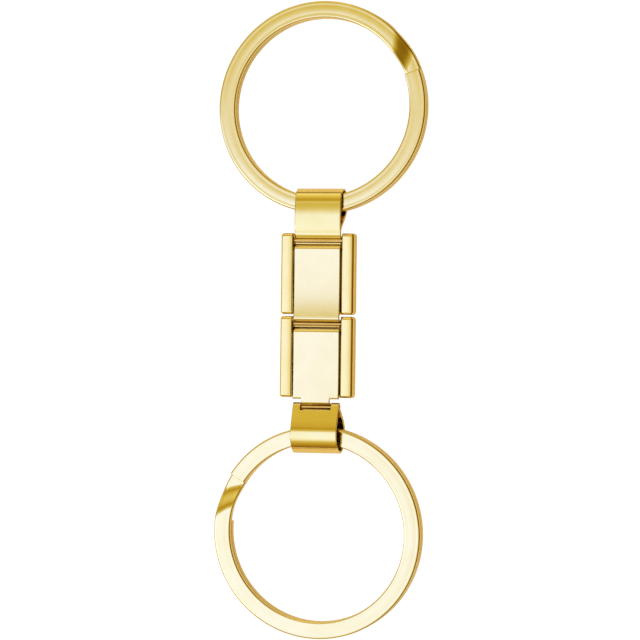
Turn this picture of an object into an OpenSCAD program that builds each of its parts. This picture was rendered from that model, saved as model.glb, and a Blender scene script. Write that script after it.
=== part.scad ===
// Double split key ring: two flat-wire split rings joined by two sprung strap links.
// Millimetres. X runs across the chain, +Y towards the upper ring, +Z out of the front face.
// The origin is on the surface that the piece lies on, under the middle of its outline.

/* [Split rings] */
// Outside diameter of each split ring
ring_od = 25.4; // [20:0.2:35]
// Width of the flat wire, across the ring's face
wire_w = 2; // [1.4:0.1:2.6]
// Thickness of one turn of wire
coil_t = 0.9; // [0.6:0.05:1.1]
// Air between the two turns
coil_gap = 0.04; // [0.02:0.01:0.1]
// Rounding of the wire's edges
wire_edge = 0.2; // [0.05:0.01:0.25]
// Length of the step where the wire changes turn, as an angle
jog_angle = 27; // [20:1:40]
// Angle of the upper ring's outer end, from +X
upper_end_angle = 21; // [-60:1:60]
// Angle of the lower ring's outer end, from +X
lower_end_angle = 147; // [120:1:200]

/* [Links] */
// Distance between neighbouring hinge pins
pitch = 9.9; // [9:0.1:12]
// Width of a link, over both side rails
casing_w = 9; // [8.5:0.1:11]
// Depth of a link's casing, back to front
casing_depth = 1.7; // [1.6:0.05:2.4]
// Sheet thickness of a casing
casing_t = 0.3; // [0.2:0.02:0.35]
// Width of a side rail's front
rail_w = 1.5; // [1.4:0.1:2]
// Free space between two casings
casing_gap = 0.2; // [0.15:0.05:0.5]
// Distance from a rail's upper end to its hinge pin
pin_inset = 0.9; // [0.7:0.05:1.2]
// Rounding of a rail's front corners, seen from the side
rail_front_r = 0.5; // [0.2:0.05:0.6]
// Rounding of a rail's back corners, seen from the side
rail_back_r = 0.6; // [0.3:0.05:0.8]
// Rounding of a rail's long outer edge
rail_edge_r = 0.3; // [0.1:0.05:0.4]

/* [Hinge pins] */
// Radius of a hinge pin
pin_r = 0.22; // [0.18:0.01:0.26]
// Height of the pin's middle above the casing's back
pin_height = 1.15; // [1.1:0.01:1.4]

/* [Face plates] */
// Sheet thickness of a face plate
plate_t = 0.27; // [0.2:0.01:0.3]
// How far a face plate stands proud of the rails
plate_rise = 0.1; // [0:0.02:0.3]
// Outer radius of a face plate's upper and lower bends
plate_bend_r = 0.45; // [0.35:0.01:0.6]
// How far a face plate's upper flange stops above the casing's back sheet
flange_lift = 0.4; // [0.1:0.1:0.6]
// Length of the guide wings under the rails
wing_len = 3.4; // [2:0.1:4.5]
// Width of the lower plate's tongue
tongue_w = 3.4; // [2:0.1:4]
// Length of the lower plate's tongue, from its shoulders to the pin
tongue_len = 0.95; // [0.8:0.05:1.4]

/* [Straps] */
// Sheet thickness of a strap
strap_t = 0.3; // [0.2:0.02:0.4]
// Distance from the upper hinge pin to its eye
upper_reach = 4.46; // [4.3:0.02:6]
// Slope of the upper strap's back run
upper_back_slope = 54; // [45:1:60]
// Distance from the lower hinge pin to its eye
lower_reach = 3.24; // [3.2:0.02:5]
// How far the lower ring hangs below the middle of its eye
lower_hang = 0.31; // [0.1:0.01:0.4]
// How far the lower ring lies behind the middle of its eye
lower_sink = 0.3; // [0:0.05:0.35]

/* [Springs] */
// Thickness of a return spring's strip
spring_t = 0.12; // [0.08:0.01:0.2]
// Legs in one zigzag spring
spring_legs = 8; // [6:1:10]

/* [Clearances] */
// Radial clearance between a hook and its pin
pin_play = 0.015; // [0.01:0.005:0.05]
// Radial clearance between a pin and the hole that holds it
press_play = 0.01; // [0.01:0.005:0.02]
// Side clearance between a face plate and each rail
side_play = 0.2; // [0.1:0.02:0.3]
// Clearance between a wing and the rail over it
wing_play = 0.1; // [0.06:0.02:0.2]
// Clearance between a hook and the next face plate
hook_play = 0.055; // [0.04:0.005:0.2]
// Clearance at the ends and sides of a spring
spring_play = 0.05; // [0.02:0.01:0.1]
// Least air between the turning wire and the upper strap's eye
upper_eye_play = 0.075; // [0.05:0.005:0.4]
// Least air between the turning wire and the lower strap's eye
lower_eye_play = 0.57; // [0.45:0.01:0.9]
// How far the notch in a casing's back sheet reaches past the face plate's upper flange
notch_play = 0.19; // [0.1:0.01:0.3]

/* [Hidden] */
$fn = 64;

gold = "#e3c463";
deep_gold = "#c99a2e";
spring_steel = "#b9b4a6";

// How much less a pin's block reaches below the pin than above it, and how far the wings keep below it
block_run = 0.35;
// Eyes are rounded up to the next twentieth of a millimetre
eye_steps = 20;

// Overlaps that join neighbouring solids, and neighbouring outlines, of one piece
weld = 0.05;
lap = 0.01;

// Hooks, shared by the upper strap and both face plates
hook_r = pin_r + pin_play;
hook_out = hook_r + plate_t;
hook_open = 130;
knuckle_out = hook_r + strap_t;

// Heights above the pins' middle
face_v = casing_depth + plate_rise - pin_height;
back_v = -pin_height;
rail_v = casing_depth - pin_height;

// Widths
slot_w = casing_w - 2 * rail_w;
plate_w = slot_w - 2 * side_play;
strap_w = plate_w;
window_w = tongue_w + 2 * side_play - weld;
hollow_in = slot_w / 2;
hollow_out = casing_w / 2 - casing_t;

// Lengths along a link, measured from its own pin
casing_top = pin_inset;
casing_end = pin_inset + casing_gap - pitch;
block_end = -pin_inset + block_run;
plate_top = -hook_out - hook_play;
notch_end = plate_top - notch_play;
wing_top = block_end - block_run;
wing_end = wing_top - wing_len;
spring_top = wing_end - plate_t - spring_play;
spring_end = casing_end + casing_t + spring_play;

// Rings
ring_r = ring_od / 2;
ring_in = ring_r - wire_w;
ring_mid = ring_r - wire_w / 2;
ring_half_t = coil_t + coil_gap / 2;
// From a strap's eye to the ring's middle: halfway through the arc of wire that the strap holds
ring_near = sqrt(ring_in * ring_in - strap_w * strap_w / 4);
ring_pull = (ring_r + ring_near) / 2;
// Radius that the wire sweeps inside an eye as the ring swings
ring_sweep = norm([(ring_r - ring_near) / 2 - wire_edge, ring_half_t - wire_edge]) + wire_edge;

// Straps: inside radius of each eye, large enough for the wire to turn in
upper_eye_r = ceil((ring_sweep + upper_eye_play) * eye_steps) / eye_steps;
lower_eye_r = ceil((ring_sweep + lower_eye_play) * eye_steps) / eye_steps;
upper_eye_out = upper_eye_r + strap_t;
lower_eye_out = lower_eye_r + strap_t;
face_z = 2 * upper_eye_out;
pin_z = face_z - face_v;
upper_eye_v = upper_eye_out - pin_z;
lower_eye_v = lower_eye_out - pin_z;
lower_axis_v = lower_eye_v - lower_sink;
lower_axis_y = -lower_reach - lower_hang;
// Slope of the lower strap's front run: the line that touches both its knuckle and its eye
lower_dist = norm([lower_reach, lower_eye_v]);
lower_normal = atan2(-lower_eye_v, lower_reach) + acos((lower_eye_out - knuckle_out) / lower_dist);
// Slope of its back run, which leaves the eye and points at the middle of the pin
lower_mid_r = lower_eye_r + strap_t / 2;
lower_back_slope = atan2(-lower_eye_v, lower_reach) + asin(lower_mid_r / lower_dist);

// A ring lies down from its eye until its far end touches the surface
function lie_angle(axis_z) =
    let (
        reach = ring_pull + ring_r - wire_edge,
        half = ring_half_t - wire_edge
    )
    asin((axis_z - wire_edge) / norm([reach, half])) - atan2(half, reach);
function ring_reach(tilt) =
    (ring_pull + ring_r - wire_edge) * cos(tilt) + (ring_half_t - wire_edge) * sin(tilt) + wire_edge;
upper_tilt = lie_angle(upper_eye_out);
lower_tilt = lie_angle(pin_z + lower_axis_v);

// The chain is centred on the origin along Y
chain_top = upper_reach + ring_reach(upper_tilt);
chain_low = -2 * pitch + lower_axis_y - ring_reach(lower_tilt);
pin_a = -(chain_top + chain_low) / 2;
pin_b = pin_a - pitch;
pin_c = pin_b - pitch;

// ---------- flat shapes ----------

// A slice of pie between two angles
module wedge(r, from, to) {
    steps = ceil((to - from) / 60);
    polygon(concat(
        [[0, 0]],
        [for (i = [0:steps]) 2.5 * r * [cos(from + (to - from) * i / steps), sin(from + (to - from) * i / steps)]]
    ));
}

// Sheet of thickness t bent round an inside radius, between two angles under 180 apart
module bend(r_in, t, from, to) {
    intersection() {
        difference() {
            circle(r_in + t);
            circle(r_in);
        }
        wedge(r_in + t, from, to);
    }
}

// The same for any angle, with the open part taken away
module curl(r_in, t, open_from, open_to) {
    difference() {
        circle(r_in + t);
        circle(r_in);
        wedge(r_in + t, open_from, open_to);
    }
}

// Hook under the pin with its neck, bent back into a run at the face's height
module hook_profile(open_to) {
    curl(hook_r, plate_t, 0, open_to);
    translate([hook_r, -lap])
        square([plate_t, face_v - plate_bend_r + 2 * lap]);
    translate([hook_r + plate_bend_r, face_v - plate_bend_r])
        bend(plate_bend_r - plate_t, plate_t, 90, 180);
}

// Rounded rectangle with its own radius at the front (+Y) and back corners
module soft_rectangle(w, h, r_front, r_back) {
    difference() {
        translate([-w / 2, 0])
            square([w, h]);
        for (side = [-1, 1]) {
            corner_cut(side * w / 2, h, -side, -1, r_front);
            corner_cut(side * w / 2, 0, -side, 1, r_back);
        }
    }
}

// What a rounding takes off a square corner at (x, y), whose middle lies towards (sx, sy)
module corner_cut(x, y, sx, sy, r) {
    translate([x, y])
        difference() {
            square(2 * r, center = true);
            translate([sx * r, sy * r])
                circle(r);
            translate([sx > 0 ? r : -2 * r, -2 * r])
                square([r, 4 * r]);
            translate([-2 * r, sy > 0 ? r : -2 * r])
                square([4 * r, r]);
        }
}

// ---------- ways to stand a flat shape up ----------

// A side view (Y, Z) made solid across the chain
module across(width) {
    rotate([90, 0, 90])
        linear_extrude(width, center = true)
            children();
}

// An end view (X, Z) made solid from one Y to another
module along(from, to) {
    translate([0, from, 0])
        rotate([90, 0, 180])
            mirror([1, 0, 0])
                linear_extrude(to - from)
                    children();
}

// ---------- split ring ----------

module wire_section() {
    translate([ring_mid, 0])
        union() {
            square([wire_w - 2 * wire_edge, coil_t], center = true);
            square([wire_w, coil_t - 2 * wire_edge], center = true);
            for (x = [-1, 1], z = [-1, 1])
                translate([x * (wire_w / 2 - wire_edge), z * (coil_t / 2 - wire_edge)])
                    circle(wire_edge);
        }
}

module coil(end_angle, side) {
    translate([0, 0, side * (coil_t + coil_gap) / 2])
        rotate([0, 0, end_angle + jog_angle])
            rotate_extrude(angle = 360 - jog_angle)
                wire_section();
}

// Outline of the wire in the step, a hair smaller than the wire so that it joins cleanly
function jog_outline() =
    let (
        skin = 0.01,
        half_w = wire_w / 2 - skin - wire_edge,
        half_t = coil_t / 2 - skin - wire_edge
    )
    [
        for (corner = [0:3], a = [0:30:90])
            let (turn = corner * 90 + a)
            [
                (corner == 0 || corner == 3 ? half_w : -half_w) + wire_edge * cos(turn),
                (corner < 2 ? half_t : -half_t) + wire_edge * sin(turn)
            ]
    ];

// The step rises from the back turn to the front turn on a smooth S
module jog(end_angle) {
    overlap = 1.5;
    steps = 18;
    outline = jog_outline();
    n = len(outline);
    rise = (coil_t + coil_gap) / 2;
    function s_curve(t) = t <= 0 ? -1 : t >= 1 ? 1 : 2 * t * t * (3 - 2 * t) - 1;
    points = [
        for (i = [0:steps])
            let (
                a = -overlap + (jog_angle + 2 * overlap) * i / steps,
                z = rise * s_curve(a / jog_angle)
            )
            for (p = outline)
                [
                    (ring_mid + p[0]) * cos(end_angle + a),
                    (ring_mid + p[0]) * sin(end_angle + a),
                    z + p[1]
                ]
    ];
    walls = [
        for (i = [0:steps - 1], k = [0:n - 1])
            [i * n + k, i * n + (k + 1) % n, (i + 1) * n + (k + 1) % n, (i + 1) * n + k]
    ];
    first = [[for (k = [n - 1:-1:0]) k]];
    last = [[for (k = [0:n - 1]) steps * n + k]];
    polyhedron(points, concat(first, walls, last), convexity = 4);
}

module split_ring(end_angle) {
    color(gold)
        union() {
            coil(end_angle, 1);
            coil(end_angle, -1);
            jog(end_angle);
        }
}

module upper_split_ring() {
    translate([0, pin_a + upper_reach, upper_eye_out])
        rotate([-upper_tilt, 0, 0])
            translate([0, ring_pull, 0])
                split_ring(upper_end_angle);
}

module lower_split_ring() {
    translate([0, pin_c + lower_axis_y, pin_z + lower_axis_v])
        rotate([lower_tilt, 0, 0])
            translate([0, -ring_pull, 0])
                split_ring(lower_end_angle);
}

// ---------- straps ----------

// Front run level with the face plates, eye round the ring, back run rising to close the loop
module upper_strap_profile() {
    run_start = hook_r + plate_bend_r;
    mid_r = upper_eye_r + strap_t / 2;
    back_len = (face_v - strap_t / 2 - upper_eye_v + mid_r * cos(upper_back_slope)) / sin(upper_back_slope);
    hook_profile(hook_open);
    translate([run_start - lap, face_v - plate_t])
        square([1, plate_t]);
    translate([run_start + 0.5, face_v - strap_t])
        square([upper_reach - run_start - 0.5 + lap, strap_t]);
    translate([upper_reach, upper_eye_v]) {
        curl(upper_eye_r, strap_t, 90, 270 - upper_back_slope);
        rotate(-90 - upper_back_slope)
            translate([upper_eye_r, -back_len])
                square([strap_t, back_len + lap]);
    }
}

module upper_strap() {
    color(gold)
        translate([0, pin_a, pin_z])
            across(strap_w)
                upper_strap_profile();
}

// Ears curl over the pin, the front run rises to the eye, and the back run closes the loop
module lower_strap_profile() {
    run_len = sqrt(lower_dist * lower_dist - pow(lower_eye_out - knuckle_out, 2));
    back_len = sqrt(lower_dist * lower_dist - lower_mid_r * lower_mid_r) - knuckle_out + strap_t / 3;
    curl(hook_r, strap_t, lower_normal, 170);
    rotate(lower_normal)
        translate([hook_r, -lap])
            square([strap_t, run_len + 2 * lap]);
    translate([-lower_reach, lower_eye_v]) {
        curl(lower_eye_r, strap_t, lower_back_slope - 90, lower_normal);
        rotate(lower_back_slope - 90)
            translate([lower_eye_r, -lap])
                square([strap_t, back_len + lap]);
    }
}

// Opening for the tongue between the ears
module tongue_window() {
    edge = hook_out + hook_play;
    rotate([lower_normal - 90, 0, 0])
        translate([-window_w / 2, -edge, -2 * knuckle_out])
            cube([window_w, 4 * edge, 4 * knuckle_out]);
}

module lower_strap() {
    color(gold)
        translate([0, pin_c, pin_z])
            difference() {
                across(strap_w)
                    lower_strap_profile();
                tongue_window();
            }
}

// ---------- casings ----------

module rail_hole() {
    rotate([0, 90, 0])
        cylinder(h = 2 * hollow_out, r = pin_r + press_play, center = true);
}

// Folded sheet: back, side walls and the two front flanges
module casing_section() {
    difference() {
        translate([0, back_v])
            soft_rectangle(casing_w, casing_depth, rail_edge_r, rail_edge_r);
        translate([-hollow_out, back_v + casing_t])
            square([2 * hollow_out, casing_depth - 2 * casing_t]);
        translate([-hollow_in, back_v + casing_t])
            square([2 * hollow_in, casing_depth]);
    }
}

module rail_blocks(from, to) {
    for (side = [-1, 1])
        translate([side * (hollow_in + hollow_out + weld) / 2, (from + to) / 2, back_v + casing_depth / 2])
            cube([hollow_out - hollow_in + weld, to - from, casing_depth - 2 * casing_t + weld], center = true);
}

module casing() {
    length = casing_top - casing_end;
    difference() {
        intersection() {
            union() {
                along(casing_end, casing_top)
                    casing_section();
                rail_blocks(block_end, casing_top);
                rail_blocks(casing_end, casing_end + casing_t);
            }
            translate([0, (casing_top + casing_end) / 2, back_v])
                across(casing_w + 1)
                    soft_rectangle(length, casing_depth, rail_front_r, rail_back_r);
        }
        rail_hole();
        translate([-hollow_in, notch_end, back_v - 1])
            cube([slot_w, casing_top - notch_end + 1, 1 + casing_t + weld]);
    }
}

module upper_casing() {
    color(gold)
        translate([0, pin_a, pin_z])
            casing();
}

module lower_casing() {
    color(gold)
        translate([0, pin_b, pin_z])
            casing();
}

// ---------- face plates ----------

module plate_profile(open_to) {
    run_start = hook_r + plate_bend_r - pitch;
    run_end = plate_top - plate_bend_r;
    flange_low = back_v + casing_t + flange_lift;
    translate([-pitch, 0])
        hook_profile(open_to);
    translate([run_start - lap, face_v - plate_t])
        square([run_end - run_start + 2 * lap, plate_t]);
    translate([run_end, face_v - plate_bend_r])
        bend(plate_bend_r - plate_t, plate_t, 0, 90);
    translate([plate_top - plate_t, flange_low])
        square([plate_t, face_v - plate_bend_r - flange_low + lap]);
}

// Hat section that guides the plate under the rails, with a seat for each spring
module wings() {
    wing_v = rail_v - casing_t - wing_play - plate_t;
    seat_v = back_v + casing_t + wing_play;
    seat_in = hollow_in + spring_play;
    wing_out = hollow_out - side_play;
    for (side = [-1, 1]) {
        translate([side * (plate_w - plate_t) / 2, (wing_top + wing_end) / 2, (wing_v + face_v - plate_t) / 2])
            cube([plate_t, wing_len, face_v - plate_t - wing_v + weld], center = true);
        translate([side * (plate_w / 2 - plate_t + wing_out) / 2, (wing_top + wing_end) / 2, wing_v + plate_t / 2])
            cube([wing_out - plate_w / 2 + plate_t, wing_len, plate_t], center = true);
        translate([side * (seat_in + wing_out) / 2, wing_end - plate_t / 2 + weld / 2, (seat_v + wing_v + plate_t) / 2])
            cube([wing_out - seat_in, plate_t + weld, wing_v + plate_t - seat_v], center = true);
    }
}

module upper_face_plate() {
    color(gold)
        translate([0, pin_a, pin_z]) {
            across(plate_w)
                plate_profile(hook_open);
            wings();
        }
}

// The lower plate narrows to a tongue that fits between the strap's ears
module lower_face_plate() {
    shoulder = tongue_len - pitch;
    color(gold)
        translate([0, pin_b, pin_z])
            difference() {
                union() {
                    across(plate_w)
                        plate_profile(170);
                    wings();
                }
                for (side = [-1, 1])
                    translate([side * (tongue_w / 2 + plate_w), shoulder - 2, 0])
                        cube([2 * plate_w, 4, 4], center = true);
            }
}

// ---------- hinge pins ----------

module hinge_pin(length) {
    color(deep_gold)
        rotate([0, 90, 0])
            cylinder(h = length, r = pin_r, center = true);
}

module upper_hinge_pin() {
    translate([0, pin_a, pin_z])
        hinge_pin(2 * (hollow_out - press_play));
}

module middle_hinge_pin() {
    translate([0, pin_b, pin_z])
        hinge_pin(2 * (hollow_out - press_play));
}

module lower_hinge_pin() {
    translate([0, pin_c, pin_z])
        hinge_pin(strap_w);
}

// ---------- return springs ----------

// Flat strip folded into a zigzag, lying in a rail between the plate's seat and the rail's end
module spring(side) {
    x_in = hollow_in + spring_play + spring_t / 2;
    x_out = hollow_out - spring_play - spring_t / 2;
    y_first = spring_top - spring_t / 2;
    y_step = (spring_end + spring_t / 2 - y_first) / spring_legs;
    height = casing_depth - 2 * casing_t - 2 * spring_play;
    function turn(i) = [side * (i % 2 == 0 ? x_in : x_out), y_first + i * y_step];
    color(spring_steel)
        translate([0, 0, back_v + casing_t + spring_play])
            linear_extrude(height)
                union() {
                    for (i = [0:spring_legs - 1])
                        let (a = turn(i), b = turn(i + 1), mid = (a + b) / 2, d = b - a)
                        translate(mid)
                            rotate(atan2(d[1], d[0]))
                                square([norm(d), spring_t], center = true);
                    for (i = [0:spring_legs])
                        translate(turn(i))
                            circle(spring_t / 2);
                }
}

module upper_left_spring() {
    translate([0, pin_a, pin_z])
        spring(-1);
}

module upper_right_spring() {
    translate([0, pin_a, pin_z])
        spring(1);
}

module lower_left_spring() {
    translate([0, pin_b, pin_z])
        spring(-1);
}

module lower_right_spring() {
    translate([0, pin_b, pin_z])
        spring(1);
}

upper_split_ring();
lower_split_ring();
upper_strap();
lower_strap();
upper_casing();
lower_casing();
upper_face_plate();
lower_face_plate();
upper_hinge_pin();
middle_hinge_pin();
lower_hinge_pin();
upper_left_spring();
upper_right_spring();
lower_left_spring();
lower_right_spring();
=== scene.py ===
"""Double split key ring in polished gold plate: two split rings, two straps and two sprung links.

Metres, in the CAD frame. Sizes in the shape functions are millimetres and become metres when a mesh is made.
X runs across the chain, +Y towards the upper ring, +Z out of the front face.
"""

import math

import bpy
import numpy as np
from mathutils import Matrix, Vector


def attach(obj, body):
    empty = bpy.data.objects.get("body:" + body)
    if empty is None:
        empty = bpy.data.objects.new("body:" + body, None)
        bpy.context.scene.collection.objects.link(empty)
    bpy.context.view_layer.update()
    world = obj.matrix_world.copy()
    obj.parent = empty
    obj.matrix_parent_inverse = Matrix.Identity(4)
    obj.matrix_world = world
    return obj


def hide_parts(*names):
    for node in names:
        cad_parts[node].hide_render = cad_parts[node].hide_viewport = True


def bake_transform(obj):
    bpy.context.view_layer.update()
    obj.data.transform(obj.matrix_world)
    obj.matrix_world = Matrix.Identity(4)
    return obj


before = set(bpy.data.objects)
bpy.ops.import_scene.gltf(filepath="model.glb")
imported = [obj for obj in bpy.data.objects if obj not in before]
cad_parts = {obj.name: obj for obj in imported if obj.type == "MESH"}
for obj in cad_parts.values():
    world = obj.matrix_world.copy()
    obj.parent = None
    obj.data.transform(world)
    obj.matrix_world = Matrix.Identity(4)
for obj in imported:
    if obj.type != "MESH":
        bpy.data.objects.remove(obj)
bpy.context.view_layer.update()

MM = 0.001

# ---------- sizes in millimetres ----------

PITCH = 9.9  # from one hinge pin to the next
PIN_A = 9.44391  # hinge pin between the upper strap and the upper link
PIN_B = PIN_A - PITCH  # hinge pin between the two links
PIN_C = PIN_B - PITCH  # hinge pin between the lower link and the lower strap
PIN_Z = 2.95
PIN_R = 0.22
HOOK_R = 0.235  # inside of every hook and ear round its pin
PLATE_T = 0.27
STRAP_T = 0.3
STRAP_W = 5.6  # the straps and the face plates are equally wide
TONGUE_W = 3.4
WINDOW_HALF_W = 1.875  # the lower strap's window, which the tongue passes through
STRAP_SKIN = 0.285  # sheets are drawn a hair thinner than they are, so that touching folds stay apart
PLATE_SKIN = 0.26
CASING_SKIN = 0.28
SPRING_SKIN = 0.115
EDGE = 0.05  # how far a cut edge of sheet metal is rounded by barrel polishing

RING_MID = 11.7  # radius of the middle of the wire
RING_PULL = 11.5136  # from the middle of a strap's eye to the middle of its ring
WIRE_HALF_W = 1.0
WIRE_HALF_T = 0.45
TURN_Z = 0.47  # middle of each turn of wire, from the middle of the ring
STEP = 27.0  # the step between the two turns, in degrees
STEP_SKEW = 9.0  # how much of it is used up by the step's slant across the wire

RAIL_IN = 3.0  # inner edge of a side rail, from the chain's middle
BACK_SHEET_Z = 1.94  # middle of a casing's back sheet
CASING_DEPTH = 1.42  # from there to the middle of the rails' front sheet
LINK_TOP = 0.9  # a link's upper and lower ends, from its own pin
LINK_LOW = -8.8


# ---------- small maths ----------


def smooth(t):
    """0 below 0, 1 above 1, and 3t^2 - 2t^3 between."""
    t = np.clip(t, 0.0, 1.0)
    return t * t * (3.0 - 2.0 * t)


def spaced(length, step):
    """Even stations from 0 to length, about step apart, both ends included."""
    return np.linspace(0.0, length, max(2, int(round(length / step)) + 1))


def trace(start, heading, moves, step=0.3):
    """Points of a flat path. ("run", L) goes straight: p + L (cos h, sin h).
    ("turn", R, A) goes round a circle of radius R by A degrees, to the left if A is above 0."""
    point = np.array(start, float)
    heading = math.radians(heading)
    parts = [point[None, :]]
    for move in moves:
        if move[0] == "run":
            along = spaced(move[1], step)[1:, None]
            part = point + along * np.array([math.cos(heading), math.sin(heading)])
        else:
            radius = move[1]
            angle = math.radians(move[2])
            side = math.copysign(1.0, angle)
            centre = point + side * radius * np.array([-math.sin(heading), math.cos(heading)])
            count = max(2, int(math.ceil(abs(move[2]) / 9.0)), int(abs(angle) * radius / step))
            swept = heading + np.linspace(0.0, angle, count + 1)[1:]
            part = centre + side * radius * np.stack([np.sin(swept), -np.cos(swept)], 1)
            heading += angle
        parts.append(part)
        point = part[-1]
    return np.concatenate(parts)


def columns(half_width, cuts=()):
    """Stations across a sheet from -half_width to half_width, close together at both edges and each cut."""
    near = [half_width, half_width - 0.1, half_width - 0.3]
    for cut in cuts:
        near += [cut + 0.3, cut + 0.1, cut, cut - 0.1, cut - 0.3]
    inner = min(near)
    stations = np.concatenate([np.array(near), np.linspace(0.0, inner, 6)])
    stations = np.unique(np.round(stations, 4))
    return np.unique(np.concatenate([-stations, stations]))


# ---------- meshes ----------


def new_piece(name, points, faces, finish, node, body):
    """A smooth-shaded mesh object at the origin from points in millimetres and faces as index rows.
    finish is (material, slot), and its slot is not used; node is the CAD node it stands for."""
    material, slot = finish
    mesh = bpy.data.meshes.new(name)
    mesh.from_pydata((np.asarray(points) * MM).tolist(), [], faces)
    mesh.polygons.foreach_set("use_smooth", np.ones(len(mesh.polygons), bool))
    mesh.materials.append(material)
    mesh.update()
    piece = bpy.data.objects.new(name, mesh)
    bpy.context.scene.collection.objects.link(piece)
    if node:
        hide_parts(node)
    if body:
        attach(piece, body)
    return piece


def grid_faces(rows, cols, keep=None):
    """Quads between neighbouring rows and columns of a grid; keep is a mask of the cells that stay."""
    index = np.arange(rows * cols).reshape(rows, cols)
    quads = np.stack([index[:-1, :-1], index[1:, :-1], index[1:, 1:], index[:-1, 1:]], -1).reshape(-1, 4)
    if keep is not None:
        quads = quads[np.asarray(keep).ravel()]
    return quads


def without_loose(points, faces):
    """The same faces on only the points they use."""
    used, renumbered = np.unique(faces, return_inverse=True)
    return points[used], renumbered.reshape(faces.shape)


def sheet_metal(name, grids, thickness, finish, node, body, edge=EDGE):
    """Folded sheet: each grid (rows, columns, 3) is the middle surface of one fold, thickened by half a sheet
    to both sides. Only its cut edges are rounded: they alone get a bevel weight as the sheet is thickened.
    grids is a list of (grid, keep) pairs."""
    points = []
    faces = []
    count = 0
    for grid, keep in grids:
        rows, cols = grid.shape[:2]
        kept_points, kept_faces = without_loose(grid.reshape(-1, 3), grid_faces(rows, cols, keep))
        points.append(kept_points)
        faces.append(kept_faces + count)
        count += len(kept_points)
    piece = new_piece(name, np.concatenate(points), np.concatenate(faces).tolist(), finish, node, body)
    wall = piece.modifiers.new("sheet", "SOLIDIFY")
    wall.thickness = thickness * MM
    wall.offset = 0.0
    wall.bevel_convex = 1.0
    rim = piece.modifiers.new("cut edge", "BEVEL")
    rim.width = edge * MM
    rim.segments = 3
    rim.limit_method = "WEIGHT"
    rim.use_clamp_overlap = True
    return piece


def closed_tube(name, rings, finish, node, body):
    """A closed skin over rings (rows, points round, 3), with a flat face at each end, turned outwards."""
    rows, cols = rings.shape[:2]
    index = np.arange(rows * cols).reshape(rows, cols)
    across = np.roll(index, -1, axis=1)
    quads = np.stack([index[:-1], across[:-1], across[1:], index[1:]], -1).reshape(-1, 4)
    points = rings.reshape(-1, 3)
    corner = points[quads]
    volume = np.einsum("ij,ij->i", corner[:, 0], np.cross(corner[:, 1], corner[:, 2])).sum()
    volume += np.einsum("ij,ij->i", corner[:, 0], np.cross(corner[:, 2], corner[:, 3])).sum()
    faces = quads.tolist() + [index[0][::-1].tolist(), index[-1].tolist()]
    if volume < 0:
        faces = [face[::-1] for face in faces]
    return new_piece(name, points, faces, finish, node, body)


def placed(points, turn_x, move):
    """Points turned about X by turn_x degrees, then moved."""
    angle = math.radians(turn_x)
    y = points[..., 1] * math.cos(angle) - points[..., 2] * math.sin(angle)
    z = points[..., 1] * math.sin(angle) + points[..., 2] * math.cos(angle)
    return np.stack([points[..., 0], y, z], -1) + np.array(move)


def band(path, stations, pin_y):
    """Grid of a strap: every (u, v) of the path, measured from the pin at (pin_y, PIN_Z), carried across
    the stations."""
    u, x = np.meshgrid(path[:, 0], stations, indexing="ij")
    v = np.repeat(path[:, 1][:, None], len(stations), 1)
    return np.stack([x, pin_y + u, PIN_Z + v], -1)


def leaned(path, start, end, rise):
    """The path's front run curves up by rise from start to end: v + rise ((u - start) / (end - start))^2.
    Points below the pins' middle stay, so that the hooks keep their fit, and those between follow partly."""
    front = 0.45
    along = np.clip((path[:, 0] - start) / (end - start), 0.0, 1.0)
    lift = rise * along**2 * smooth(path[:, 1] / front)
    return np.stack([path[:, 0], path[:, 1] + lift], 1)


def row_and_distance(path, stations):
    """For every cell of a band: its row, and its distance from the middle of the sheet."""
    row = np.arange(len(path) - 1)[:, None]
    beside = np.abs((stations[1:] + stations[:-1]) / 2)[None, :]
    return row, beside


# ---------- split rings ----------


def wire_outline(inset):
    """Rounded rectangle of the rolled wire: a corner circle of radius r about (w - r, t - r) in each quarter,
    w and t being half the width and thickness, all of it inset near the wire's cut ends. The two flat faces
    are crowned by crown (x / w)^2."""
    outer_r, inner_r = 0.24, 0.2
    crown_height = 0.04
    quarter = np.linspace(0.0, math.pi / 2, 7)
    corners = ((1, 1, outer_r), (-1, 1, inner_r), (-1, -1, inner_r), (1, -1, outer_r))
    out = []
    for turn, (side_x, side_y, radius) in enumerate(corners):
        angle = quarter + turn * math.pi / 2
        x = side_x * (WIRE_HALF_W - radius) + (radius - inset[:, None]) * np.cos(angle)
        y = side_y * (WIRE_HALF_T - radius) + (radius - inset[:, None]) * np.sin(angle)
        out.append(np.stack([x, y], -1))
        if side_x != side_y:
            continue
        flat = np.linspace(0.8, -0.8, 7) * side_x * (WIRE_HALF_W - 0.25)
        crown = -crown_height * (flat / WIRE_HALF_W) ** 2
        flat_x = np.repeat(flat[None, :], len(inset), 0)
        flat_y = side_y * (WIRE_HALF_T - inset[:, None] + crown)
        out.append(np.stack([flat_x, flat_y], -1))
    return np.concatenate(out, 1)


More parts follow.
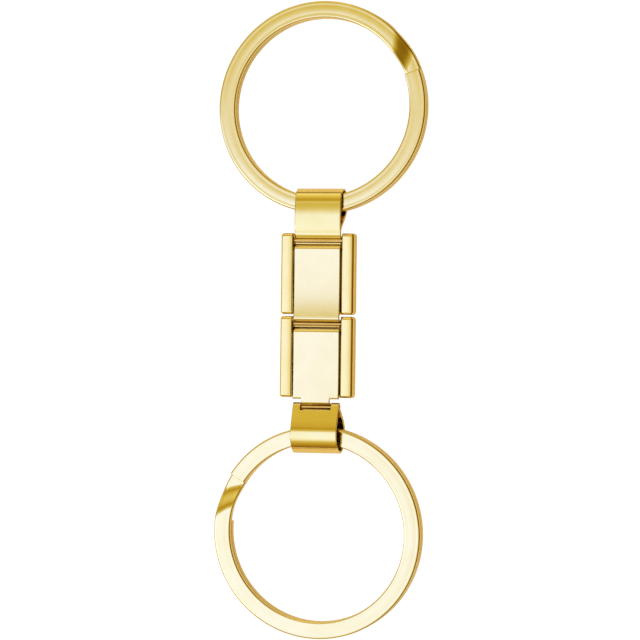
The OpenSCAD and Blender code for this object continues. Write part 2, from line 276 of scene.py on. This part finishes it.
def split_ring(name, end_angle, turn_x, axis, pull, finish, node, body):
    """Flat wire wound twice. The angle falls from the front end all the way round; the front turn is at
    +TURN_Z and the back one at -TURN_Z, joined by an S-shaped step that starts at the outer edge first."""
    total = 720.0 - STEP
    ends = np.array([0.0, 0.06, 0.16, 0.3, 0.45, 0.6])
    inner = np.arange(1.5, total - 1.4, 1.5)
    run = np.concatenate([ends, inner, total - ends[::-1]])
    arc = np.minimum(run, total - run) * math.pi / 180 * RING_MID
    end_r = 0.1
    inset = end_r - np.sqrt(np.maximum(0.0, end_r**2 - (end_r - np.minimum(arc, end_r)) ** 2))
    outline = wire_outline(inset)
    angle = np.radians(end_angle - run)[:, None]
    radius = RING_MID + outline[..., 0]
    skew = STEP_SKEW * (0.5 - outline[..., 0] / (2 * WIRE_HALF_W))
    through = (run[:, None] - (360.0 - STEP) - skew) / (STEP - STEP_SKEW)
    centre_z = TURN_Z * (1.0 - 2.0 * smooth(through))
    rings = np.stack([radius * np.cos(angle), radius * np.sin(angle), centre_z + outline[..., 1]], -1)
    rings = rings + np.array([0.0, pull, 0.0])
    return closed_tube(name, placed(rings, turn_x, axis), finish, node, body)


# ---------- straps ----------


def hook(open_from):
    """Start, heading and moves of a hook that passes under its pin from open_from degrees, with its neck
    and the bend into the face's run, which starts 0.685 mm from the pin."""
    middle = HOOK_R + PLATE_T / 2
    start = (middle * math.cos(math.radians(open_from)), middle * math.sin(math.radians(open_from)))
    moves = [("turn", middle, 360.0 - open_from), ("run", 0.2), ("turn", 0.45 - PLATE_T / 2, -90.0)]
    return start, open_from + 90.0, moves


def upper_strap(finish):
    """Hook, front run, eye round the ring and a back run that rises to close the loop. The front run falls
    a little towards both of its ends."""
    start, heading, curl = hook(130.0)
    neck_r = 0.515
    run_from = HOOK_R + PLATE_T / 2 + neck_r
    reach = 4.46
    neck = [curl[0], ("turn", neck_r, -90.0)]
    moves = neck + [("run", reach - run_from), ("turn", 1.65, -234.0), ("run", 3.06)]
    path = trace(start, heading, moves, 0.2)
    path = leaned(leaned(path, 2.9, reach, -0.1), 2.2, run_from, -0.24)
    grids = [(band(path, columns(STRAP_W / 2), PIN_A), None)]
    return sheet_metal("upper_strap_fold", grids, STRAP_SKIN, finish, "upper_strap", "upper_strap_loop")


def lower_strap(finish):
    """Two ears curled over the pin, a sloping front run, the eye, and a back run that closes the loop.
    The front run leaves the pin's circle at angle leave, and the back run rises at angle rise."""
    leave = 69.06
    rise = 51.93
    middle = HOOK_R + STRAP_T / 2
    ear_tip = 170.0
    start = (middle * math.cos(math.radians(ear_tip)), middle * math.sin(math.radians(ear_tip)))
    heading = ear_tip + 90.0
    step = 0.14
    curl = [("turn", middle, 360.0 - ear_tip + leave), ("run", 0.6)]
    moves = curl + [("run", 2.194), ("turn", 2.15, 270.0 + rise - leave), ("run", 2.0)]
    path = leaned(trace(start, heading, moves, step), -1.7, -3.1, -0.06)
    stations = columns(STRAP_W / 2, [WINDOW_HALF_W])
    row, beside = row_and_distance(path, stations)
    window_rows = len(trace(start, heading, curl, step)) - 1
    keep = (row >= window_rows) | (beside > WINDOW_HALF_W)
    grids = [(band(path, stations, PIN_C), keep)]
    return sheet_metal("lower_strap_fold", grids, STRAP_SKIN, finish, "lower_strap", "lower_strap_loop")


# ---------- face plates ----------


def lengthwise(path, stations):
    """Grid of a section: every (x, z) of the path carried along the y stations."""
    x, y = np.meshgrid(path[:, 0], stations, indexing="ij")
    z = np.repeat(path[:, 1][:, None], len(stations), 1)
    return np.stack([x, y, z], -1)


def guide_wings(pin_y):
    """Grids of the two skirts with their wings under the rails, and of the two spring seats."""
    skirt = trace((2.665, PIN_Z + 0.4), -90.0, [("run", 0.265), ("turn", 0.12, 90.0), ("run", 1.2)], 0.2)
    wing = lengthwise(skirt, pin_y + np.array([-0.9, -1.0, -1.2, -1.9, -2.6, -3.3, -4.0, -4.2, -4.3]))
    # A seat bends down from the end of its wing
    seat_path = trace((-4.2, 0.015), 180.0, [("run", 0.08), ("turn", 0.15, 90.0), ("run", 0.58)], 0.1)
    seat = band(seat_path, np.array([3.05, 3.15, 3.35, 3.7, 3.9, 4.0]), pin_y)
    other_side = np.array([-1.0, 1.0, 1.0])
    return [(wing, None), (wing * other_side, None), (seat, None), (seat * other_side, None)]


def face_plate(name, pin_y, finish, node, body, tongue):
    """Flange at the upper end, the face, and a hook under the next pin; the lower one narrows to a tongue."""
    start, heading, moves = hook(170.0 if tongue else 130.0)
    step = 0.3
    below = moves + [("run", 0.265)]
    moves = below + [("run", 7.94), ("turn", 0.315, -90.0), ("run", 0.65)]
    path = trace(start, heading, moves, step) - np.array([PITCH, 0.0])
    # The face is sunk a little along its whole length, and rises again towards both ends. The lower end
    # rises less where a strap turns past it
    sink, top_rise = 0.1, 0.07
    low_rise = 0.08 if tongue else 0.2
    deepest = -4.4
    path = leaned(path, 0.0, -0.01, -sink)
    path = leaned(path, deepest, -9.215, low_rise)
    path = leaned(path, deepest, -1.01, top_rise)
    stations = columns(STRAP_W / 2, [TONGUE_W / 2])
    keep = None
    if tongue:
        row, beside = row_and_distance(path, stations)
        keep = (row >= len(trace(start, heading, below, step)) - 1) | (beside < TONGUE_W / 2)
    grids = [(band(path, stations, pin_y), keep)] + guide_wings(pin_y)
    return sheet_metal(name, grids, PLATE_SKIN, finish, node, body)


# ---------- casings ----------


def end_drop(distance, radius, half_sheet):
    """How far a folded end has turned in at a distance from the end, rho being the bend's radius at the
    middle of the sheet: rho - sqrt(rho^2 - (radius - distance)^2)."""
    rho = radius - half_sheet
    reach = np.clip(radius - distance, 0.0, rho * 0.999)
    return rho - np.sqrt(rho**2 - reach**2)


def casing(name, pin_y, finish, node, body):
    """C-shaped fold carried along the link: back sheet, side walls and two crowned front rails.
    Near each end the section shrinks by end_drop, so that the rails end in soft pillows."""
    half_sheet = CASING_SKIN / 2
    corner = ("turn", 0.2, 90.0)
    side = [("run", 1.16), corner, ("run", 1.02), corner, ("run", 1.16)]
    path = trace((-RAIL_IN, BACK_SHEET_Z + CASING_DEPTH), 180.0, side + [("run", 2 * RAIL_IN)] + side, 0.19)
    low, top = pin_y + LINK_LOW, pin_y + LINK_TOP
    bend = 0.4 - 0.26 * np.sin(np.radians([75.0, 55.0, 38.0, 22.0, 10.0, 0.0]))
    near = np.concatenate([bend, [0.5, 0.7, 0.95, 1.16, 1.26, 1.36, 1.46, 1.56, 1.8, 2.1]])
    along = np.concatenate([low + near, np.linspace(low + 2.8, top - 2.8, 8), top - near[::-1]])
    distance = np.minimum(along - low, top - along)[None, :]
    x = path[:, 0][:, None]
    z = path[:, 1][:, None]
    crown = 0.05 * ((np.abs(x) - 3.7) / 0.7) ** 2 * smooth((z - 3.1) / 0.2)
    x = np.sign(x) * (np.abs(x) - end_drop(distance, 0.36, half_sheet) * smooth((np.abs(x) - 3.1) / 1.1))
    back = end_drop(distance, 0.5, half_sheet)
    front = end_drop(distance, 0.4, half_sheet)
    height = (z - BACK_SHEET_Z) / CASING_DEPTH
    z = BACK_SHEET_Z + back + height * (CASING_DEPTH - back - front) - crown
    y = np.repeat(along[None, :], len(path), 0)
    middle_x = np.abs(path[1:, 0] + path[:-1, 0])[:, None] / 2
    middle_y = (along[1:] + along[:-1])[None, :] / 2
    is_back = (path[1:, 1] < BACK_SHEET_Z + 0.26)[:, None]
    # The back sheet is notched at the upper end, where the strap or the next plate's hook passes
    keep = ~(is_back & (middle_x < RAIL_IN - 0.001) & (middle_y > top - 1.36))
    return sheet_metal(name, [(np.stack([x, y, z], -1), keep)], CASING_SKIN, finish, node, body)


def soft_block(name, low, high, radius, finish, body):
    """Closed block with rounded edges: (half - r) sign + r n for every direction n of a sphere."""
    low, high = np.array(low), np.array(high)
    half = (high - low) / 2
    quarter = np.radians(np.linspace(0.0, 90.0, 6))
    turn = np.concatenate([quarter + k * math.pi / 2 for k in range(4)])
    sign_x = np.repeat([1.0, -1.0, -1.0, 1.0], 6)
    sign_y = np.repeat([1.0, 1.0, -1.0, -1.0], 6)
    rise = np.concatenate([-quarter[::-1], quarter])
    sign_z = np.repeat([-1.0, 1.0], 6)
    x = (half[0] - radius) * sign_x + radius * np.cos(rise)[:, None] * np.cos(turn)
    y = (half[1] - radius) * sign_y + radius * np.cos(rise)[:, None] * np.sin(turn)
    z = ((half[2] - radius) * sign_z + radius * np.sin(rise))[:, None] + np.zeros(len(turn))
    rings = np.stack([x, y, z], -1) + (low + high) / 2
    return closed_tube(name, rings, finish, None, body)


# ---------- pins and springs ----------


def hinge_pin(name, pin_y, half_length, finish, node, body):
    """Drawn wire with domed ends: the radius is R sqrt(1 - ((|x| - (L - h)) / h)^2) over the last h."""
    dome = 0.14
    bend = half_length - dome + dome * np.sin(np.radians(np.linspace(0.0, 84.0, 9)))
    x = np.concatenate([-bend[::-1], np.linspace(-half_length + 0.3, half_length - 0.3, 25), bend])
    x = np.unique(x)
    over = np.clip((np.abs(x) - (half_length - dome)) / dome, 0.0, 1.0)
    radius = PIN_R * np.sqrt(1.0 - over**2)
    turn = np.linspace(0.0, 2 * math.pi, 48, endpoint=False)
    y = pin_y + radius[:, None] * np.cos(turn)
    z = PIN_Z + radius[:, None] * np.sin(turn)
    rings = np.stack([np.repeat(x[:, None], len(turn), 1), y, z], -1)
    return closed_tube(name, rings, finish, node, body)


def return_spring(name, pin_y, side, finish, node):
    """Flat strip bent to and fro: half turns of radius bend and straight legs, standing on its edge in a
    rail. It reaches from the face plate at its upper end to the casing at its lower end, and is attached to
    neither."""
    first, last = -4.62, -8.45
    middle_x, middle_z = 3.6, 2.65
    turns = 8
    bend = (first - last) / (2 * turns) - 0.004
    leg = 1.1 - 0.12 - 2 * bend
    moves = [("run", leg / 2)]
    for turn in range(turns):
        way = -180.0 if turn % 2 == 0 else 180.0
        moves += [("turn", bend, way), ("run", leg if turn < turns - 1 else leg / 2)]
    path = trace((middle_x, pin_y + first - 0.06), 0.0, moves, 0.25)
    heights = np.array([2.15, 2.2, 2.3, 2.65, 3.0, 3.1, 3.15])
    x, z = np.meshgrid(path[:, 0] * side, heights, indexing="ij")
    grid = np.stack([x, np.repeat(path[:, 1][:, None], len(heights), 1), z], -1)
    piece = sheet_metal(name, [(grid, None)], SPRING_SKIN, finish, node, None, edge=0.02)
    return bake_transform(piece)


# ---------- materials ----------


def linear(hex_code):
    """An sRGB hex colour as linear RGBA: ((c + 0.055) / 1.055)^2.4, or c / 12.92 near black."""
    channels = np.array([int(hex_code[i : i + 2], 16) for i in (1, 3, 5)]) / 255.0
    light = np.where(channels <= 0.04045, channels / 12.92, ((channels + 0.055) / 1.055) ** 2.4)
    return (*light.tolist(), 1.0)


def add(tree, kind, settings=None, inputs=None):
    """A node of this kind with its settings; each input is a value or another node's output socket."""
    node = tree.nodes.new(kind)
    for key, value in (settings or {}).items():
        setattr(node, key, value)
    for key, value in (inputs or {}).items():
        if isinstance(value, bpy.types.NodeSocket):
            tree.links.new(value, node.inputs[key])
        else:
            node.inputs[key].default_value = value
    return node


def per_mm(size):
    """Noise scale, in cycles a metre, for features of this size in millimetres."""
    return 1.0 / (size * MM)


def new_material(name):
    """An empty node material, and its tree."""
    material = bpy.data.materials.new(name)
    material.use_nodes = True
    material.node_tree.nodes.clear()
    return material, material.node_tree


def blended(tree, amount, first, second, way="MIX"):
    """A colour that goes from first, at amount 0, to second, at amount 1."""
    kind = {"data_type": "RGBA", "blend_type": way}
    return add(tree, "ShaderNodeMix", kind, {0: amount, 6: first, 7: second}).outputs[2]


def bare_metal(tree, colour, rough, normal):
    """The material's surface: a metal with this colour, roughness and normal, each from a node."""
    values = {"Base Color": colour, "Metallic": 1.0, "Roughness": rough, "Normal": normal}
    metal = add(tree, "ShaderNodeBsdfPrincipled", {}, values)
    add(tree, "ShaderNodeOutputMaterial", {}, {"Surface": metal.outputs[0]})


def gold_plate(name, pale, deep, polish, line_across):
    """Gold electroplate over buffed stainless steel: a mirror that a buffing wheel has left faintly wavy,
    with fine lines. line_across is the lines' pitch in mm along X, Y and Z; polish is the mean roughness."""
    material, tree = new_material(name)
    place = add(tree, "ShaderNodeTexCoord").outputs["Object"]
    # Plating thickness varies over 3 mm or so, which moves the gold between two near shades
    clouds = add(tree, "ShaderNodeTexNoise", {}, {"Vector": place, "Scale": per_mm(3.2), "Detail": 3.0})
    patches = {"From Min": 0.35, "From Max": 0.65}
    shade = add(tree, "ShaderNodeMapRange", {}, {"Value": clouds.outputs[0], **patches})
    tone = blended(tree, shade.outputs[0], linear(pale), linear(deep))
    # Buffing lines: real ones are near 0.01 mm apart, and are drawn several times coarser so that they show
    pitch = tuple(per_mm(step) for step in line_across)
    stretched = add(tree, "ShaderNodeMapping", {"vector_type": "POINT"}, {"Vector": place, "Scale": pitch})
    lines = add(tree, "ShaderNodeTexNoise", {}, {"Vector": stretched.outputs[0], "Scale": 1.0, "Detail": 2.0})
    spread = {"From Min": 0.3, "From Max": 0.7, "To Min": polish - 0.035, "To Max": polish + 0.045}
    rough = add(tree, "ShaderNodeMapRange", {}, {"Value": lines.outputs[0], **spread})
    # Waviness of about a micron over 1.5 mm, as a soft wheel leaves it
    waves = add(tree, "ShaderNodeTexNoise", {}, {"Vector": place, "Scale": per_mm(1.5), "Detail": 1.0})
    wavy = add(tree, "ShaderNodeBump", {}, {"Strength": 1.0, "Distance": 3.0e-6, "Height": waves.outputs[0]})
    fine = add(
        tree,
        "ShaderNodeBump",
        {},
        {"Strength": 1.0, "Distance": 2.5e-7, "Height": lines.outputs[0], "Normal": wavy.outputs[0]},
    )
    # Painted shade: where ambient occlusion finds a narrow gap, the gold is darkened towards brown to stand
    # in for the shade that falls there
    gap = add(tree, "ShaderNodeAmbientOcclusion", {"samples": 8}, {"Distance": 0.8 * MM})
    open_sky = {"From Min": 0.22, "From Max": 0.55}
    clear = add(tree, "ShaderNodeMapRange", {}, {"Value": gap.outputs["AO"], **open_sky})
    tone_with_painted_gap_shade = blended(tree, clear.outputs[0], linear("#5E2A08"), tone)
    bare_metal(tree, tone_with_painted_gap_shade, rough.outputs[0], fine.outputs[0])
    return material


def rolled_spring_steel(name):
    """Cold-rolled spring strip, left bare: grey and satin, with rolling lines along the strip."""
    material, tree = new_material(name)
    place = add(tree, "ShaderNodeTexCoord").outputs["Object"]
    rolling = add(
        tree,
        "ShaderNodeMapping",
        {"vector_type": "POINT"},
        {"Vector": place, "Scale": (per_mm(1.5), per_mm(1.5), per_mm(0.05))},
    )
    lines = add(tree, "ShaderNodeTexNoise", {}, {"Vector": rolling.outputs[0], "Scale": 1.0, "Detail": 2.0})
    tone = blended(tree, lines.outputs[0], linear("#A9A49A"), linear("#C9C6BE"))
    rough = add(tree, "ShaderNodeMapRange", {}, {"Value": lines.outputs[0], "To Min": 0.22, "To Max": 0.42})
    bump = add(tree, "ShaderNodeBump", {}, {"Strength": 1.0, "Distance": 5.0e-7, "Height": lines.outputs[0]})
    bare_metal(tree, tone, rough.outputs[0], bump.outputs[0])
    return material


# Each finish is (material, slot)
on_wire = gold_plate("gold plate on rolled ring wire", "#FFEBA6", "#FDE79E", 0.1, (0.9, 0.9, 0.05))
on_strap = gold_plate("gold plate on strap sheet", "#FFE898", "#FCE48F", 0.11, (0.05, 1.2, 1.2))
on_casing = gold_plate("gold plate on casing sheet", "#FFE592", "#FCE18A", 0.11, (0.05, 1.6, 0.4))
on_plate = gold_plate("gold plate on face plate", "#FFEAA6", "#FDE69E", 0.09, (0.05, 1.6, 0.4))
on_pin = gold_plate("gold plate on pin wire", "#F7CE78", "#EBBE62", 0.14, (0.8, 0.06, 0.06))
ring_gold = (on_wire, "ring_gold")
strap_gold = (on_strap, "strap_gold")
rail_gold = (on_casing, "casing_gold")
plate_gold = (on_plate, "plate_gold")
pin_gold = (on_pin, "pin_gold")
bare_steel = (rolled_spring_steel("bare rolled spring steel"), "spring_steel")

# ---------- the chain ----------

# Each ring hangs in its eye and lies down until its far end touches the table
upper_eye = (0.0, 13.9039, 1.8)
lower_eye = (0.0, -13.9061, 2.0)
for level, end_angle, lie, eye, pull in (
    ("upper", 21.0, -2.1013, upper_eye, RING_PULL),
    ("lower", 147.0, 2.5795, lower_eye, -RING_PULL),
):
    node, body = f"{level}_split_ring", f"{level}_ring"
    split_ring(f"{level}_ring_wire", end_angle, lie, eye, pull, ring_gold, node, body)
upper_strap(strap_gold)
lower_strap(strap_gold)
face_plate("upper_plate_sheet", PIN_A, plate_gold, "upper_face_plate", "upper_plate", False)
face_plate("lower_plate_sheet", PIN_B, plate_gold, "lower_face_plate", "lower_plate", True)
for level, pin_y in (("upper", PIN_A), ("lower", PIN_B)):
    link = f"{level}_link"
    casing(f"{level}_casing_fold", pin_y, rail_gold, f"{level}_casing", link)
    for hand, side in (("left", -1.0), ("right", 1.0)):
        rail = f"{level}_{hand}"
        near, far = sorted((side * 3.02, side * 4.24))
        pin_low, pin_high = (near, pin_y - 0.55, 2.1), (far, pin_y + 0.84, 3.2)
        stop_low, stop_high = (near, pin_y - 8.74, 2.3), (far, pin_y - 8.5, 3.0)
        soft_block(f"{rail}_pin_block", pin_low, pin_high, 0.42, rail_gold, link)
        soft_block(f"{rail}_stop_block", stop_low, stop_high, 0.1, rail_gold, link)
        return_spring(f"{rail}_zigzag", pin_y, side, bare_steel, f"{rail}_spring")
CASING_PIN_HALF = 4.19
hinge_pin("upper_pin_rod", PIN_A, CASING_PIN_HALF, pin_gold, "upper_hinge_pin", "upper_link")
hinge_pin("middle_pin_rod", PIN_B, CASING_PIN_HALF, pin_gold, "middle_hinge_pin", "lower_link")
hinge_pin("lower_pin_rod", PIN_C, STRAP_W / 2, pin_gold, "lower_hinge_pin", "lower_strap_loop")

# ---------- floor, light and camera ----------

WHITE = (1.0, 1.0, 1.0, 1.0)
SEEN_WHITE = 1.05  # the floor and the room, as the camera sees them
COOL_WHITE = (1.0, 1.16, 2.05, 1.0)  # bluer than daylight, so that it still looks white in a gold mirror


def seen_or_reflected(tree, reflected, seen):
    """One shader for rays straight from the camera, and another for every other ray."""
    straight = add(tree, "ShaderNodeLightPath").outputs["Is Camera Ray"]
    return add(tree, "ShaderNodeMixShader", {}, {0: straight, 1: reflected, 2: seen}).outputs[0]


def pale_floor():
    """A white table top, level with the bottom of the chain. The camera sees it evenly white, with no
    shadow, as on a light table. The light that it throws back up at the metal is dimmer and warmer."""
    material, tree = new_material("white light table")
    place = add(tree, "ShaderNodeTexCoord").outputs["Object"]
    grain = add(tree, "ShaderNodeTexNoise", {}, {"Vector": place, "Scale": per_mm(40.0), "Detail": 2.0})
    tone = blended(tree, grain.outputs[0], linear("#EFE6CC"), linear("#EBE1C4"))
    warm_glow = {"Emission Color": linear("#FFE9B8"), "Emission Strength": 0.3}
    top = add(tree, "ShaderNodeBsdfPrincipled", {}, {"Base Color": tone, "Roughness": 0.9, **warm_glow})
    glow = add(tree, "ShaderNodeEmission", {}, {"Color": WHITE, "Strength": SEEN_WHITE})
    surface = seen_or_reflected(tree, top.outputs[0], glow.outputs[0])
    add(tree, "ShaderNodeOutputMaterial", {}, {"Surface": surface})
    reach = 4.0
    corners = [(-reach, -reach, 0), (reach, -reach, 0), (reach, reach, 0), (-reach, reach, 0)]
    mesh = bpy.data.meshes.new("table")
    mesh.from_pydata(corners, [], [(0, 1, 2, 3)])
    mesh.materials.append(material)
    table = bpy.data.objects.new("table", mesh)
    bpy.context.scene.collection.objects.link(table)
    return table


def fade(tree, value, start, end):
    """1 where value is at start, 0 where it is at end, and a smooth step between."""
    return add(
        tree,
        "ShaderNodeMapRange",
        {"interpolation_type": "SMOOTHSTEP"},
        {"Value": value, "From Min": end, "From Max": start, "To Min": 0.0, "To Max": 1.0},
    ).outputs[0]


def times(tree, first, second):
    """The product of two values."""
    return add(tree, "ShaderNodeMath", {"operation": "MULTIPLY"}, {0: first, 1: second}).outputs[0]


def tone_by_angle(tree, across, up, stops):
    """A colour for a direction's angle from straight up, from -90 to 90 degrees; stops are (degrees, hex)."""
    right_angle = math.pi / 2
    angle = add(tree, "ShaderNodeMath", {"operation": "ARCTAN2"}, {0: across, 1: up}).outputs[0]
    limits = {"From Min": -right_angle, "From Max": right_angle}
    place = add(tree, "ShaderNodeMapRange", {}, {"Value": angle, **limits})
    ramp = add(tree, "ShaderNodeValToRGB", {}, {0: place.outputs[0]})
    while len(ramp.color_ramp.elements) < len(stops):
        ramp.color_ramp.elements.new(0.5)
    for element, (degrees, colour) in zip(ramp.color_ramp.elements, stops):
        element.position = (degrees + 90.0) / 180.0
        element.color = linear(colour)
    return ramp.outputs[0]


def studio_sky():
    """Soft studio light. A wide cool-white diffuser hangs overhead and to the left, and the rest of the room
    is warm: dim gold beside the diffuser, lighter towards a far wall, and dark at the horizon. The camera
    sees the room as a plain white sweep like the floor."""
    world = bpy.data.worlds.new("studio")
    world.use_nodes = True
    tree = world.node_tree
    tree.nodes.clear()
    place = add(tree, "ShaderNodeTexCoord").outputs["Generated"]
    split = add(tree, "ShaderNodeSeparateXYZ", {}, {0: place})
    up = add(tree, "ShaderNodeMath", {"operation": "MAXIMUM"}, {0: split.outputs[2], 1: 0.02}).outputs[0]
    # The diffuser is a soft-edged rectangle on a flat ceiling, where a direction meets it at (x / z, y / z)
    right = add(tree, "ShaderNodeMath", {"operation": "DIVIDE"}, {0: split.outputs[0], 1: up}).outputs[0]
    ahead = add(tree, "ShaderNodeMath", {"operation": "DIVIDE"}, {0: split.outputs[1], 1: up}).outputs[0]
    in_width = times(tree, fade(tree, right, -0.3, 0.1), fade(tree, right, -2.4, -4.5))
    in_length = times(tree, fade(tree, ahead, 0.03, 0.2), fade(tree, ahead, -0.3, -1.1))
    diffuser = times(tree, in_width, in_length)
    room = tone_by_angle(
        tree,
        split.outputs[1],
        up,
        [
            (-90, "#8E6A22"),
            (-80, "#A8842E"),
            (-64, "#BFA044"),
            (-46, "#D9CB7C"),
            (-30, "#F5F3CB"),
            (-12, "#E3DDB1"),
            (10, "#DDD498"),
            (20, "#CBB654"),
            (30, "#B8983A"),
            (42, "#DCCB6C"),
            (54, "#FFFAD6"),
            (68, "#F3EAB8"),
            (79, "#C4A44A"),
            (90, "#8E6A22"),
        ],
    )
    side = tone_by_angle(
        tree,
        split.outputs[0],
        up,
        [
            (-90, "#1A1004"),
            (-84, "#5A4418"),
            (-72, "#E8E2C8"),
            (-10, "#FFFFFF"),
            (4, "#F4EFD8"),
            (18, "#D6C474"),
            (32, "#A68C3A"),
            (50, "#8A6A28"),
            (75, "#6A4A1C"),
            (90, "#1A1004"),
        ],
    )
    warm = blended(tree, 1.0, room, side, "MULTIPLY")
    sky = blended(tree, diffuser, warm, COOL_WHITE)
    light = add(tree, "ShaderNodeBackground", {}, {"Color": sky, "Strength": 1.0})
    sweep = add(tree, "ShaderNodeBackground", {}, {"Color": WHITE, "Strength": SEEN_WHITE})
    surface = seen_or_reflected(tree, light.outputs[0], sweep.outputs[0])
    add(tree, "ShaderNodeOutputWorld", {}, {"Surface": surface})
    bpy.context.scene.world = world


def soft_box(name, place, aim, size, power):
    """A square diffuser lamp at place, facing aim."""
    lamp = bpy.data.lights.new(name, "AREA")
    lamp.shape = "SQUARE"
    lamp.size = size
    lamp.energy = power
    holder = bpy.data.objects.new(name, lamp)
    bpy.context.scene.collection.objects.link(holder)
    holder.location = place
    holder.rotation_euler = (Vector(aim) - Vector(place)).to_track_quat("-Z", "Y").to_euler()
    return holder


def camera():
    """A long lens 425 mm away, 14.3 degrees to the right of straight ahead and rolled by 0.7 degrees."""
    data = bpy.data.cameras.new("camera")
    data.lens = 200.0
    data.sensor_width = 36.0
    data.clip_start = 0.01
    data.clip_end = 20.0
    holder = bpy.data.objects.new("camera", data)
    bpy.context.scene.collection.objects.link(holder)
    turn = math.radians(14.3)
    roll = math.radians(0.7)
    back = Vector((math.sin(turn), 0.0, math.cos(turn)))
    level = Vector((math.cos(turn), 0.0, -math.sin(turn)))
    up = Vector((0.0, 1.0, 0.0)) * math.cos(roll) - level * math.sin(roll)
    right = up.cross(back)
    target = Vector((0.0, 0.0, 0.0018))
    place = target + back * 0.4246
    holder.matrix_world = Matrix(
        (
            (right.x, up.x, back.x, place.x),
            (right.y, up.y, back.y, place.y),
            (right.z, up.z, back.z, place.z),
            (0.0, 0.0, 0.0, 1.0),
        )
    )
    bpy.context.scene.camera = holder


pale_floor()
studio_sky()
soft_box("key", (-0.62, -0.3, 0.9), (0.0, 0.0, 0.0), 0.4, 0.6)
camera()
bpy.context.scene.view_settings.view_transform = "Standard"
